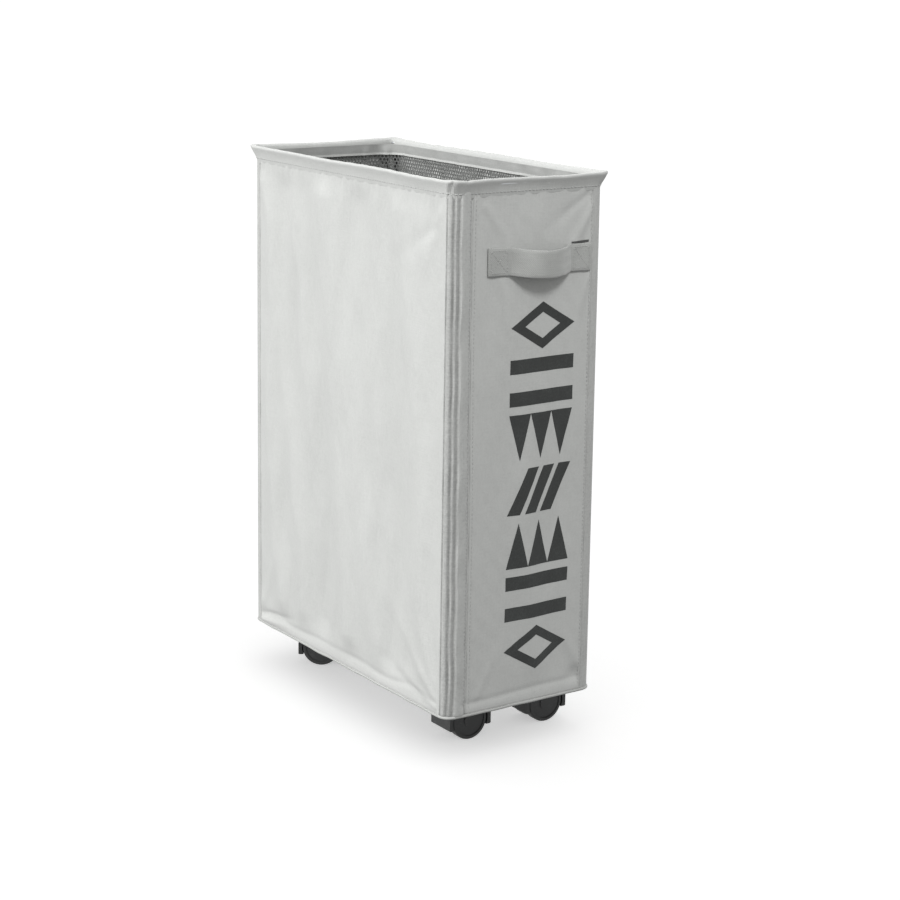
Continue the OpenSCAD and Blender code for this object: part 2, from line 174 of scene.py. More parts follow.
def fold(a, b, start, end, height, width, fade=0.8):
    """A soft ridge from start to end; it dies out over the last part of its length."""
    (a0, b0), (a1, b1) = start, end
    da, db = a1 - a0, b1 - b0
    size = math.hypot(da, db)
    t = ((a - a0) * da + (b - b0) * db) / size ** 2
    off = ((a - a0) * db - (b - b0) * da) / size
    along = step((t + 0.04) / 0.12) * step((1 - t) / fade)
    return height * along * np.exp(-(off / (width * (0.7 + 0.8 * np.clip(t, 0, 1)))) ** 2)


# ---- the bag's wall

# relief of the sleeves, as (place, height): ridges and seams of the overlapped sleeve, from its corner's
# end on the front face, and of the plain sleeve, from where the front face's flat ends
SLEEVE = np.array([
    (-24, 0), (-21.5, 0.1), (-19.6, 0.6), (-18.0, -0.75), (-15.5, 0.35), (-12, 0.25), (-9.2, -0.75),
    (-7, 0.2), (-3.2, -0.55), (-0.8, 0.6), (2.5, 1.0), (6.5, 1.0), (9.4, 0.5), (10.9, -1.6),
    (12.2, -0.1), (14.2, 0.1), (15.4, -0.45), (16.8, 0.05), (21, 0)])
PLAIN = np.array([
    (-7.0, 0), (-4.7, 0.15), (-3.5, -0.9), (-2.3, 0.25), (1, 0.1), (9.4, 0.0), (18, 0.1), (21.2, 0.25),
    (22.3, -0.9), (23.5, 0.15), (26, 0)])


def smooth_table(points, blur):
    """A table of (place, height) as fine steps, with its corners rounded."""
    x = np.arange(points[0, 0] - 6, points[-1, 0] + 6, 0.25)
    y = np.interp(x, points[:, 0], points[:, 1], 0, 0)
    kernel = np.exp(-(np.arange(-16, 17) * 0.25 / blur) ** 2)
    return x, np.convolve(y, kernel / kernel.sum(), "same")


SLEEVE_X, SLEEVE_Y = smooth_table(SLEEVE, 0.55)
PLAIN_X, PLAIN_Y = smooth_table(PLAIN, 0.55)


def wall_share(z):
    """0 at the bag's foot to 1 at the top of its walls."""
    return np.clip((z - BAG_Z) / (WALL_TOP - BAG_Z), 0, 1)


def wall_size(z):
    """Half width, half length and corner radius of the bag at height z."""
    k = wall_share(z)
    tuck = 1.3 * step((BAG_Z + 4.0 - z) / 4.0)
    hx = HALF_W + 0.4 - 1.2 * k ** 1.3 - tuck
    hy = HALF_L + 1.0 - 2.4 * k ** 1.2 - tuck
    return hx, hy, NOM_R - 1.0 * k


def sleeve_lift(s, z):
    """Ridges of the corner sleeves. Opposite corners are alike, so half of the perimeter repeats."""
    half = TOTAL / 2
    sway = 0.55 * ripple(z, 71, 90, 4)
    at = np.mod(s + 40, half) - 40
    deep = 1 + 0.22 * waves(z, s, 72, 60, 200, 4)
    lift = np.interp(at + sway * step((17 - np.abs(at + 2)) / 8), SLEEVE_X, SLEEVE_Y, 0, 0) * deep
    at = np.mod(s - LEN_F + 40, half) - 40
    return 1.35 * (lift + np.interp(at, PLAIN_X, PLAIN_Y, 0, 0) * deep)


def side_field(side, a, z, length):
    """Outward sag and folds of one face. a is the distance from the face's left edge, seen from outside."""
    k = wall_share(z)
    long = length > 250
    edge = np.minimum(a, length - a)
    mask = step(edge / (34 if long else 22)) * step((z - BAG_Z - 12) / 30) * step((HEM_Z + 3 - z) / 26)
    field = mask * (2.2 if long else 2.4) * np.sin(PI * np.clip(a / length, 0, 1)) * np.sin(PI * k) ** 0.8
    field = field + mask * (2.9 if long else 1.1) * waves(a, z, 11 + side, 110, 900, 6)
    field = field + mask * (0.95 if long else 0.5) * waves(a, z, 21 + side, 46, 210, 7)
    field = field + mask * 0.11 * waves(a, z, 31 + side, 17, 38, 7)
    # the board pushes the cloth out at the foot, with a crease above it
    base = np.exp(-((z - BAG_Z - 6) / 5.5) ** 2) * step((z - BAG_Z - 1) / 3)
    crease = BAG_Z + 15 + 1.5 * ripple(a, 41 + side, 130, 4)
    field = field + step(edge / 10) * (0.5 * base - 0.8 * np.exp(-((z - crease) / 3.4) ** 2))
    # short gathers under the hem
    gathers = 0.3 * waves(a, z, 51 + side, 15, 160, 5) * np.exp(-((HEM_Z - z) / 16) ** 2)
    return field + step(edge / 8) * gathers


# folds of a face: start, end, height, width and, where it isn't the usual one, fade. A place is (distance
# along the face, height): from the left edge, but on the left face from the corner near the camera
LEFT_FOLDS = (
    ((352, 57), (262, 70), -0.9, 3.2, 0.7), ((352, 50), (270, 58), 0.7, 4.0, 0.7),
    ((4, 60), (120, 168), 0.75, 7.5), ((2, 54), (96, 84), 0.6, 5.0), ((6, 72), (66, 210), 0.5, 7),
    ((30, 57), (160, 96), -0.5, 6), ((350, 64), (300, 170), 0.6, 8), ((8, 548), (60, 430), 0.55, 8),
    ((352, 548), (300, 440), 0.6, 9), ((14, 530), (120, 470), -0.4, 8))
FRONT_FOLDS = (
    ((158, 552), (96, 452), 0.8, 5.5), ((159, 546), (132, 430), 0.6, 5.0),
    ((150, 556), (84, 514), -0.5, 5.0, 0.7), ((24, 552), (62, 500), 0.45, 5.0),
    ((46, 482), (60, 400), 0.5, 5.0), ((150, 478), (128, 402), 0.55, 5.0),
    ((36, 484), (34, 420), -0.35, 4.0), ((158, 60), (110, 150), 0.5, 6.0), ((22, 60), (64, 140), 0.45, 6.0))


def face_folds(side, a, z, length):
    """All folds of one face, and the front face's dent at its right foot."""
    if side == 0:
        dent = 1.1 * np.exp(-((a - 146) / 9) ** 2 - ((z - BAG_Z - 21) / 8) ** 2)
        return sum(fold(a, z, *row) for row in FRONT_FOLDS) - dent
    if side == 3:
        return sum(fold(length - a, z, *row) for row in LEFT_FOLDS)
    folds = (((6, 60), (90, 160), 0.6, 7), ((length - 6, 60), (length - 80, 150), 0.6, 7),
             ((6, 548), (70, 450), 0.5, 8), ((length - 6, 548), (length - 60, 440), 0.6, 8),
             ((length * 0.4, 62), (length * 0.52, 190), -0.4, 9, 0.9))
    return sum(fold(a, z, *row) for row in folds)


def wall_lift(s, z):
    """How far the bag's outside stands off wall_size()."""
    s = np.mod(s, TOTAL)
    lift = sleeve_lift(s, z)
    for side in range(4):
        begin = MARKS[2 * side]
        length = MARKS[2 * side + 1] - begin
        a = s - begin
        inside = (a >= 0) & (a <= length)
        aa = np.clip(a, 0, length)
        window = step(np.minimum(aa, length - aa) / 6)
        relief = side_field(side, aa, z, length) + 2.3 * window * face_folds(side, aa, z, length)
        lift = lift + np.where(inside, relief, 0)
    return lift


def wall(s, z, lift=0.0):
    """Points of the bag's outside."""
    s, z = grids(s, z)
    return on_ring(u_of(s), wall_size(z), wall_lift(s, z) + lift, z)


def normals_of(surface, a, b, e=0.35):
    """Outward normals of surface(a, b), from differences."""
    n = np.cross(surface(a + e, b) - surface(a - e, b), surface(a, b + e) - surface(a, b - e))
    return n / np.linalg.norm(n, axis=-1, keepdims=True)


def front_s(x, z):
    """Perimeter coordinate of a place on the front face."""
    hx, _, r = wall_size(z)
    return (x + hx - r) / (2 * (hx - r)) * LEN_F


# ---- mesh helpers

def make(name, verts, faces, mat, uvs=None, loop_normals=None, angle=None):
    """A mesh object from points in mm. uvs are in metres, one for each vertex."""
    mesh = bpy.data.meshes.new(name)
    mesh.from_pydata((np.asarray(verts, float) * MM).tolist(), [], [list(map(int, f)) for f in faces])
    mesh.polygons.foreach_set("use_smooth", np.ones(len(mesh.polygons), bool))
    if uvs is not None:
        layer = mesh.uv_layers.new(name="weave")
        index = np.empty(len(mesh.loops), np.int32)
        mesh.loops.foreach_get("vertex_index", index)
        layer.data.foreach_set("uv", (np.asarray(uvs, float)[index] * MM).ravel().astype(np.float32))
    mesh.update()
    if angle:
        mesh.set_sharp_from_angle(angle=math.radians(angle))
    if loop_normals is not None:
        mesh.normals_split_custom_set(loop_normals.tolist())
    mesh.materials.append(mat)
    obj = bpy.data.objects.new(name, mesh)
    bpy.context.scene.collection.objects.link(obj)
    return obj


def cloth_patch(surface, a, b, thick):
    """Closed thin patch over the grid a by b of surface(a, b): vertices, quads, uvs and corner normals."""
    aa, bb = np.meshgrid(a, b)
    out, nor = surface(aa, bb), normals_of(surface, aa, bb)
    inn = out - nor * thick
    rows, cols = aa.shape
    n = rows * cols
    verts = np.concatenate([out.reshape(-1, 3), inn.reshape(-1, 3)])
    uvs = np.tile(np.stack([aa.ravel(), bb.ravel()], -1), (2, 1))
    idx = np.arange(n).reshape(rows, cols)
    quads = np.stack([idx[:-1, :-1], idx[:-1, 1:], idx[1:, 1:], idx[1:, :-1]], -1).reshape(-1, 4)
    rim = np.concatenate([idx[0, :-1], idx[:-1, -1], idx[-1, :0:-1], idx[:0:-1, 0]])
    nxt = np.roll(rim, -1)
    strips = np.stack([nxt, rim, rim + n, nxt + n], -1)
    faces = np.concatenate([quads, quads[:, ::-1] + n, strips])
    flat = nor.reshape(-1, 3)
    p = verts[strips]
    side = np.cross(p[:, 1] - p[:, 0], p[:, 3] - p[:, 0])
    side /= np.maximum(np.linalg.norm(side, axis=1, keepdims=True), 1e-9)
    corner = np.concatenate([flat[quads], -flat[quads[:, ::-1]], np.repeat(side[:, None], 4, 1)])
    return verts, faces, uvs, corner.reshape(-1, 3)


def spaced(lo, hi, gap):
    return np.linspace(lo, hi, max(2, int(round((hi - lo) / gap)) + 1))


def run_of(points):
    """Length along a line of points, at each of them."""
    return marks(np.linalg.norm(np.diff(points, axis=0), axis=1))


def border(edges):
    """The directed edges that aren't met by an opposite one."""
    found = dict.fromkeys(edges)
    return [(a, b) for a, b in found if (b, a) not in found]


def loft_faces(count, m):
    """Quads between count closed sections of m points each, and a cap on each end."""
    faces = [[i * m + j, (i + 1) * m + j, (i + 1) * m + (j + 1) % m, i * m + (j + 1) % m]
             for i in range(count - 1) for j in range(m)]
    return faces + [list(range(m)), list(range(count * m - 1, (count - 1) * m - 1, -1))]


def join(parts):
    """Several (verts, faces, uvs, and perhaps corner normals) as one."""
    verts, faces, *rest = zip(*parts)
    starts = np.cumsum([0] + [len(v) for v in verts])
    faces = [np.asarray(q) + at for part, at in zip(faces, starts) for q in part]
    return np.concatenate(verts), faces, *(np.concatenate(r) for r in rest)


def tube(points, radius, sides=10, closed=False, up=(0, 0, 1)):
    """Tube along points, with caps where it is open: verts, faces, uvs and corner normals."""
    p = np.asarray(points, float)
    n = len(p)
    if closed:
        tan = np.roll(p, -1, 0) - np.roll(p, 1, 0)
    else:
        tan = np.gradient(p, axis=0)
    tan /= np.linalg.norm(tan, axis=1, keepdims=True)
    side = np.cross(tan, np.array(up, float))
    side /= np.linalg.norm(side, axis=1, keepdims=True)
    top = np.cross(side, tan)
    t = np.linspace(0, 2 * PI, sides, endpoint=False)
    rad = np.broadcast_to(np.asarray(radius, float), (n,))[:, None, None]
    dirs = side[:, None] * np.cos(t)[None, :, None] + top[:, None] * np.sin(t)[None, :, None]
    verts = (p[:, None] + rad * dirs).reshape(-1, 3)
    run = run_of(p)
    uvs = np.stack(np.broadcast_arrays(run[:, None], (t * np.max(rad))[None]), -1).reshape(-1, 2)
    i = np.arange(n if closed else n - 1)
    j = np.arange(sides)
    ii, jj = np.meshgrid(i, j, indexing="ij")
    i2, j2 = (ii + 1) % n, (jj + 1) % sides
    quads = np.stack([i2 * sides + jj, i2 * sides + j2, ii * sides + j2, ii * sides + jj], -1).reshape(-1, 4)
    faces = list(quads)
    corner = [dirs.reshape(-1, 3)[quads].reshape(-1, 3)]
    if not closed:
        for ends, sign in ((np.arange(sides), -1), (np.arange(sides)[::-1] + (n - 1) * sides, 1)):
            faces.append(ends)
            corner.append(np.repeat(sign * tan[[0 if sign < 0 else -1]], sides, 0))
    return verts, faces, uvs, np.concatenate(corner)


def in_polygon(points, poly):
    """Which of the points lie inside one polygon."""
    x, y = points[:, 0], points[:, 1]
    inside = np.zeros(len(x), bool)
    for (x0, y0), (x1, y1) in zip(poly, np.roll(poly, -1, 0)):
        if y0 != y1:
            inside ^= ((y0 > y) != (y1 > y)) & (x < (x1 - x0) * (y - y0) / (y1 - y0) + x0)
    return inside


def within(points, loops):
    """Which of the points lie inside the first polygon and in none of the others."""
    inside = [in_polygon(points, loop) for loop in loops]
    return inside[0] & ~np.any(inside[1:], axis=0)


def plate(outer, holes, place, gap, lift, thick):
    """Thin closed plate cut to a polygon and laid on place(a, b) -> (points, normals): verts, faces, uvs."""
    loops = [np.asarray(p, float) for p in (outer, *holes)]
    pts, edges = [], []
    for loop in loops:
        base = len(pts)
        line = []
        for p, q in zip(loop, np.roll(loop, -1, 0)):
            k = max(1, int(math.ceil(np.linalg.norm(q - p) / gap)))
            line += [p + (q - p) * t / k for t in range(k)]
        pts += line
        edges += [(base + i, base + (i + 1) % len(line)) for i in range(len(line))]
    rim = np.array(pts)
    lo, hi = loops[0].min(0), loops[0].max(0)
    gx, gy = np.meshgrid(np.arange(lo[0] + gap / 2, hi[0], gap), np.arange(lo[1] + gap / 2, hi[1], gap))
    grid = np.stack([gx.ravel() + 0.31 * gap * (np.indices(gx.shape)[0].ravel() % 2), gy.ravel()], -1)
    grid = grid[within(grid, loops)]
    apart = [g for g in grid if np.min(np.linalg.norm(rim - g, axis=1)) > gap * 0.45]
    v, _, tris, *_ = delaunay_2d_cdt([Vector(p) for p in (*rim, *apart)], edges, [], 0, 1e-5)
    v, tris = np.array([tuple(p) for p in v]), np.array(tris)
    tris = tris[within(v[tris].mean(1), loops)]
    points, nor = place(v[:, 0], v[:, 1])
    top = points + nor * (lift + thick)
    low = points + nor * lift
    p = top[tris]
    wrong = (np.cross(p[:, 1] - p[:, 0], p[:, 2] - p[:, 0]) * nor[tris[:, 0]]).sum(1) < 0
    tris[wrong] = tris[wrong][:, ::-1]
    n = len(v)
    rims = border((int(a), int(b)) for t in tris for a, b in zip(t, np.roll(t, -1)))
    faces = [list(t) for t in tris] + [list(t[::-1] + n) for t in tris]
    faces += [[b, a, a + n, b + n] for a, b in rims]
    return np.concatenate([top, low]), faces, np.concatenate([v, v])


def between(at, run, rows):
    """Rows of three numbers, interpolated at one place along run."""
    return np.array([np.interp(at, run, rows[:, k]) for k in range(3)])


def stitch_rows(name, rows, mat, pitch=4.2, length=3.1, radius=0.42):
    """Rows of thread stitches: each row is (points, outward normals) along a seam."""
    t = np.linspace(0, 2 * PI, 6, endpoint=False)
    along = np.array([-0.5, -0.34, 0.34, 0.5]) * length
    size = np.array([0.4, 1.0, 1.0, 0.4]) * radius
    drop = np.array([-0.55, 0.0, 0.0, -0.55]) * radius
    verts, faces = [], []
    for points, nor in rows:
        points, nor = np.asarray(points, float), np.asarray(nor, float)
        run = run_of(points)
        for at in np.arange(pitch / 2, run[-1], pitch):
            p, n = between(at, run, points), between(at, run, nor)
            d = between(min(at + 0.8, run[-1]), run, points) - between(max(at - 0.8, 0), run, points)
            d /= max(np.linalg.norm(d), 1e-9)
            n -= d * (n @ d)
            n /= np.linalg.norm(n)
            w = np.cross(d, n)
            base = len(verts)
            for x, r, h in zip(along, size, drop):
                for a in t:
                    verts.append(p + d * x + n * (h + r * math.sin(a)) + w * r * math.cos(a))
            for i in range(base, base + 18, 6):
                for j in range(6):
                    k = (j + 1) % 6
                    faces.append([i + k, i + j, i + 6 + j, i + 6 + k])
            faces += [list(range(base, base + 6)), list(range(base + 23, base + 17, -1))]
    return make(name, verts, faces, mat)


# ---- materials

class Nodes:
    """A material's node tree, built by short calls."""

    def __init__(self, name, colour=(0.5, 0.5, 0.5), **shader):
        self.mat = bpy.data.materials.new(name)
        self.mat.use_nodes = True
        self.tree = self.mat.node_tree
        self.shader = self.tree.nodes["Principled BSDF"]
        self.set(self.shader, {"Base Color": (*colour, 1), **shader})

    def set(self, node, values):
        for key, value in values.items():
            socket = node.inputs[key]
            if isinstance(value, bpy.types.NodeSocket):
                self.tree.links.new(value, socket)
            else:
                socket.default_value = value

    def add(self, kind, values=None, **props):
        node = self.tree.nodes.new("ShaderNode" + kind)
        for key, value in props.items():
            setattr(node, key, value)
        self.set(node, values or {})
        return node.outputs

    def math(self, op, a, b=0.0, c=0.0):
        return self.add("Math", {0: a, 1: b, 2: c}, operation=op)[0]

    def weave_uv(self):
        """The metric uv layer, whole and as its two parts."""
        uv = self.add("UVMap", uv_map="weave")[0]
        split = self.add("SeparateXYZ", {0: uv})
        return uv, split[0], split[1]

    def place(self):
        return self.add("TexCoord")["Object"]

    def wave(self, value, pitch):
        return self.math("SINE", self.math("MULTIPLY", value, 2 * PI / pitch))

    def noise(self, vector, scale, detail=3.0, rough=0.5):
        values = {"Vector": vector, "Scale": scale, "Detail": detail, "Roughness": rough}
        return self.add("TexNoise", values)[0]

    def stretch(self, vector, scale):
        return self.add("Mapping", {"Vector": vector, "Scale": scale})[0]

    def ramp(self, value, stops):
        """Colours at places along 0..1."""
        out = self.add("ValToRGB", {"Fac": value})
        ramp = self.tree.nodes[-1].color_ramp
        while len(ramp.elements) < len(stops):
            ramp.elements.new(0.5)
        for element, (at, colour) in zip(ramp.elements, stops):
            element.position, element.color = at, (*colour, 1)
        return out[0]

    def paint(self, value, *stops):
        """Base colour from a ramp over value."""
        self.set(self.shader, {"Base Color": self.ramp(value, stops)})

    def mix_sum(self, *parts):
        """0.5 plus the weighted distance of each (value, weight, centre) from its centre."""
        total = 0.5
        for value, weight, centre in parts:
            off = self.math("SUBTRACT", value, centre)
            total = self.math("ADD", total, self.math("MULTIPLY", off, weight))
        return total

    def bump(self, height, strength, distance, normal=None):
        values = {"Height": height, "Strength": strength, "Distance": distance}
        if normal is not None:
            values["Normal"] = normal
        out = self.add("Bump", values)[0]
        self.set(self.shader, {"Normal": out})
        return out


def shade(colour, k):
    return tuple(min(1.0, c * k) for c in colour)


def shader(**values):
    """Shader inputs by name, with _ for the spaces."""
    return {key.replace("_", " "): value for key, value in values.items()}


WEAVE = 0.00105     # pitch of the cloth's threads, in metres


def woven(name, colour, pitch=WEAVE, contrast=0.10, sheen=0.22, depth=0.00022, mottled=0.10, dark=0.84,
          shaded_creases=()):
    """Plain-weave cloth: threads, slubs, soft mottling, and painted shade darkening creases at (perimeter
    place, depth).
    """
    n = Nodes(name, colour, **shader(
        Roughness=0.86, Sheen_Weight=sheen, Sheen_Roughness=0.45, Specular_IOR_Level=0.25))
    uv, u, v = n.weave_uv()
    obj = n.place()
    over = n.math("MULTIPLY", n.wave(u, pitch), n.wave(v, pitch))
    slub_a = n.noise(n.stretch(uv, (900, 46, 1)), 1.0, 2.0)
    slub_b = n.noise(n.stretch(uv, (46, 900, 1)), 1.0, 2.0)
    cloud = n.noise(obj, 16.0, 4.0, 0.6)
    grain = n.noise(obj, 420.0, 2.0, 0.6)
    value = n.mix_sum((over, contrast * 0.6, 0.0), (slub_a, contrast * 2.2, 0.5),
                      (slub_b, contrast * 2.2, 0.5), (cloud, mottled * 5.0, 0.5), (grain, 0.5, 0.5))
    # painted shade: the colour is darkened along the listed creases of the perimeter
    if shaded_creases:
        lo, hi = shaded_creases[0][0], shaded_creases[-1][0]
        at = n.add("Math", {0: u, 1: (lo - 10 + TOTAL / 2) * MM, 2: (lo - 10) * MM}, operation="WRAP")[0]
        along = n.math("DIVIDE", n.math("SUBTRACT", at, lo * MM), (hi - lo) * MM)
        painted_crease_shade = n.ramp(along, [((s - lo) / (hi - lo), (k, k, k)) for s, k in shaded_creases])
        value = n.math("SUBTRACT", value, painted_crease_shade)
    n.paint(value, (0.0, shade(colour, dark)), (0.5, colour), (1.0, shade(colour, 1.14)))
    height = n.mix_sum((over, 0.32, 0.0), (slub_a, 1.1, 0.5), (slub_b, 1.1, 0.5), (grain, 0.5, 0.5))
    first = n.bump(height, 0.55, depth)
    crumple = n.noise(n.stretch(obj, (1, 1, 0.7)), 55.0, 3.0, 0.55)
    n.bump(crumple, 0.35, 0.0011, first)
    return n.mat


def webbing(name, colour):
    """Twill webbing: diagonal ribs that meet in a chevron, and a raised edge."""
    n = Nodes(name, colour, **shader(
        Roughness=0.78, Sheen_Weight=0.3, Sheen_Roughness=0.4, Specular_IOR_Level=0.3))
    uv, u, v = n.weave_uv()
    chevron = n.math("PINGPONG", n.math("ADD", v, 1.0), 0.0045)
    rib = n.wave(n.math("ADD", u, n.math("MULTIPLY", chevron, 1.2)), 0.0021)
    cord = n.wave(v, 0.0009)
    slub = n.noise(n.stretch(uv, (60, 900, 1)), 1.0, 2.0)
    cloud = n.noise(n.place(), 40.0)
    value = n.mix_sum((rib, 0.16, 0.0), (cord, 0.05, 0.0), (slub, 0.5, 0.5), (cloud, 0.5, 0.5))
    n.paint(value, (0.0, shade(colour, 0.72)), (0.5, colour), (1.0, shade(colour, 1.2)))
    n.bump(n.mix_sum((rib, 0.32, 0.0), (cord, 0.12, 0.0), (slub, 0.5, 0.5)), 0.7, 0.00035)
    return n.mat


def plastic(name, colour, rough=0.48, scuff=0.5):
    """Moulded plastic: fine spark texture, uneven gloss, pale scuffs."""
    n = Nodes(name, colour, **shader(Specular_IOR_Level=0.45))
    obj = n.place()
    spark = n.noise(obj, 1500.0, 2.0, 0.7)
    cloud = n.noise(obj, 70.0, 4.0, 0.6)
    scratch = n.noise(n.stretch(obj, (260, 260, 1900)), 1.0, 2.0, 0.6)
    mark = n.math("MULTIPLY", n.math("SUBTRACT", scratch, 0.60), 3.0)
    value = n.mix_sum((cloud, 1.1, 0.5), (spark, 0.3, 0.5), (n.math("MAXIMUM", mark, 0.0), scuff, 0.0))
    n.paint(value, (0.0, shade(colour, 0.7)), (0.55, colour), (1.0, tuple(c * 1.6 + 0.02 for c in colour)))
    n.set(n.shader, {"Roughness": n.math("ADD", rough - 0.1, n.math("MULTIPLY", cloud, 0.22))})
    n.bump(n.mix_sum((spark, 0.8, 0.5), (scratch, 0.25, 0.5)), 0.35, 0.00012)
    return n.mat


def steel(name, colour):
    """Drawn steel, brushed along its length."""
    n = Nodes(name, colour, Metallic=1.0)
    obj = n.place()
    brush = n.noise(n.stretch(obj, (60, 60, 2600)), 1.0, 3.0, 0.6)
    cloud = n.noise(obj, 90.0)
    value = n.mix_sum((brush, 0.6, 0.5), (cloud, 0.8, 0.5))
    n.paint(value, (0.0, shade(colour, 0.7)), (0.5, colour), (1.0, shade(colour, 1.25)))
    n.set(n.shader, {"Roughness": n.math("ADD", 0.22, n.math("MULTIPLY", brush, 0.3))})
    n.bump(brush, 0.2, 0.00005)
    return n.mat


def fibreboard(name, colour):
    """Pressed board: short fibres and flecks."""
    n = Nodes(name, colour, **shader(Roughness=0.8, Specular_IOR_Level=0.2))
    obj = n.place()
    fibre = n.noise(n.stretch(obj, (1, 3.2, 8)), 260.0, 5.0, 0.75)
    fleck = n.noise(obj, 900.0, 2.0, 0.8)
    cloud = n.noise(obj, 14.0)
    value = n.mix_sum((fibre, 1.4, 0.5), (fleck, 0.7, 0.5), (cloud, 0.6, 0.5))
    n.paint(value, (0.1, shade(colour, 0.6)), (0.5, colour), (0.9, shade(colour, 1.5)))
    n.bump(n.mix_sum((fibre, 0.8, 0.5), (fleck, 0.4, 0.5)), 0.5, 0.0003)
    return n.mat


def printed(name, colour):
    """Ink pressed into the weave, a little thin on the thread tops."""
    n = Nodes(name, colour, **shader(Roughness=0.62, Specular_IOR_Level=0.35))
    _, u, v = n.weave_uv()
    over = n.math("MULTIPLY", n.wave(u, WEAVE), n.wave(v, WEAVE))
    obj = n.place()
    grain = n.noise(obj, 520.0, 3.0, 0.7)
    cloud = n.noise(obj, 34.0)
    value = n.mix_sum((over, 0.10, 0.0), (grain, 0.9, 0.5), (cloud, 0.7, 0.5))
    n.paint(value, (0.1, shade(colour, 0.75)), (0.5, colour), (0.95, shade(colour, 1.9)))
    n.bump(n.mix_sum((over, 0.3, 0.0), (grain, 0.9, 0.5)), 0.45, 0.00018)
    return n.mat


GREY = (0.445, 0.452, 0.440)
CLOTH = woven("oxford_cloth", GREY)
HEM_CLOTH = woven("hem_cloth", shade(GREY, 0.97), mottled=0.07)
# painted shade: the sleeve cloth is a darker copy of the cloth for the shade on the rounded corners, and its
# crease list darkens its grooves and the overlap seam
SLEEVE_CLOTH = woven("sleeve_cloth", shade(GREY, 0.90), mottled=0.08, dark=0.55, shaded_creases=(
    (-26, 0), (-20, 0.0), (-18.2, 0.35), (-15.5, 0.12), (-13, 0.2), (-9.4, 0.5), (-7, 0.18), (-3.4, 0.32),
    (-0.8, 0.0), (8, 0.0), (9.4, 0.2), (10.9, 0.8), (13, 0.3), (15.4, 0.1), (18, 0)))
PIPING_CLOTH = woven("piping_cloth", shade(GREY, 0.82), mottled=0.14)
COLLAR_CLOTH = woven("collar_cloth", shade(GREY, 0.62), contrast=0.12)
LINING_CLOTH = woven("lining_cloth", shade(GREY, 0.9), pitch=0.0014)
NET = woven("net_yarn", (0.115, 0.118, 0.115), pitch=0.0006, contrast=0.2, depth=0.0001, sheen=0.05)
STRAP = webbing("strap_webbing", (0.36, 0.367, 0.355))
THREAD = webbing("thread", shade(GREY, 0.86))
INK = printed("black_ink", (0.024, 0.026, 0.025))
HOOD = plastic("hood_plastic", (0.020, 0.021, 0.021))
WHEEL = plastic("wheel_plastic", (0.026, 0.027, 0.027), rough=0.55, scuff=0.9)
CAP = plastic("cap_plastic", (0.03, 0.03, 0.031), rough=0.4)
STEEL = steel("caster_steel", (0.55, 0.56, 0.57))
WIRE = steel("rim_wire_steel", (0.45, 0.46, 0.47))
BOARD = fibreboard("fibreboard", (0.20, 0.145, 0.09))

# ---- walls and corner sleeves

Z_ROWS = np.concatenate([
    np.arange(BAG_Z + 0.4, BAG_Z + 24, 1.6), spaced(BAG_Z + 24, HEM_Z - 30, 4.5),
    spaced(HEM_Z - 27, WALL_TOP - 2, 2.6)])
WALL_T = 1.1


def dress(obj, slot, *nodes):
    """Rides on the bag and stands for CAD nodes, which it hides; slot is not used."""
    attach(obj, "bag")
    if nodes:
        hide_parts(*nodes)
    return obj


WALL_SPAN = {
    "front": (SEAM_S, LEN_F - EDGE_S), "right": (MARKS[2] + EDGE_S, MARKS[3]),
    "back": (MARKS[4] + SEAM_S, MARKS[5] - EDGE_S), "left": (MARKS[6] + EDGE_S, MARKS[7])}
SLEEVE_SPAN = {
    "front_left": (-LEN_C, SEAM_S), "front_right": (LEN_F - EDGE_S, MARKS[2] + EDGE_S),
    "back_right": (MARKS[3], MARKS[4] + SEAM_S), "back_left": (MARKS[5] - EDGE_S, MARKS[6] + EDGE_S)}
for side, (s0, s1) in WALL_SPAN.items():
    gap = 2.6 if side == "front" else 3.6
    middle = spaced(s0 + 8, s1 - 8, gap)[1:-1]
    cols = np.concatenate([spaced(s0, s0 + 8, 1.0), middle, spaced(s1 - 8, s1, 1.0)])
    v, f, t, c = cloth_patch(wall, cols, Z_ROWS, WALL_T)
    obj = dress(make(f"{side}_wall", v, f, CLOTH, t, c), "cloth", f"{side}_panel")

BOARD_TOP = box_mm("base_board")[1][2]
POCKET_R = 3.7      # of a sleeve's pocket, round its rod
for corner, (s0, s1) in SLEEVE_SPAN.items():
    outside = cloth_patch(wall, spaced(s0, s1, 0.75), Z_ROWS, WALL_T)
    rod_lo, rod_hi = box_mm(f"corner_rod_{corner}")
    rod = (rod_lo + rod_hi) / 2
    tz = spaced(BOARD_TOP + 0.5, WALL_TOP - 1, 9)
    sway = 0.12 * ripple(tz, 81, 60, 4)
    line = np.stack([rod[0] + sway, rod[1] - sway, tz], -1)
    pocket = tube(line, POCKET_R + 0.1 * ripple(tz, 82, 34, 4), 16, up=(1, 0, 0))
    v, f, t, c = join([outside, pocket])
    obj = dress(make(f"sleeve_{corner}", v, f, SLEEVE_CLOTH, t, c), "sleeve_cloth", f"corner_sleeve_{corner}")

# ---- hem

RIM_HX, RIM_HY, RIM_R = HALF_W - 0.5, HALF_L - 1.2, 10.5     # centre line of the bead
# (outward from the bead's centre line, height): up the outside, over the wire, and down the inside
HEM_LOOP = np.array([
    (-0.7, 557.2), (-0.35, 557.8), (0.0, 559.0), (0.3, 560.8), (0.75, 562.8), (1.3, 565.2), (2.1, 567.6),
    (3.2, 570.2), (4.2, 572.0), (4.6, 573.3), (4.2, 574.4), (3.0, 574.95), (1.2, 574.95), (-1.0, 574.5),
    (-2.7, 573.6), (-3.7, 572.0), (-4.0, 569.6), (-3.9, 566.4), (-3.5, 562.8), (-2.8, 559.4), (-1.8, 557.3)])
HEM_LOOP[:, 1] += RIM_Z - 575.0


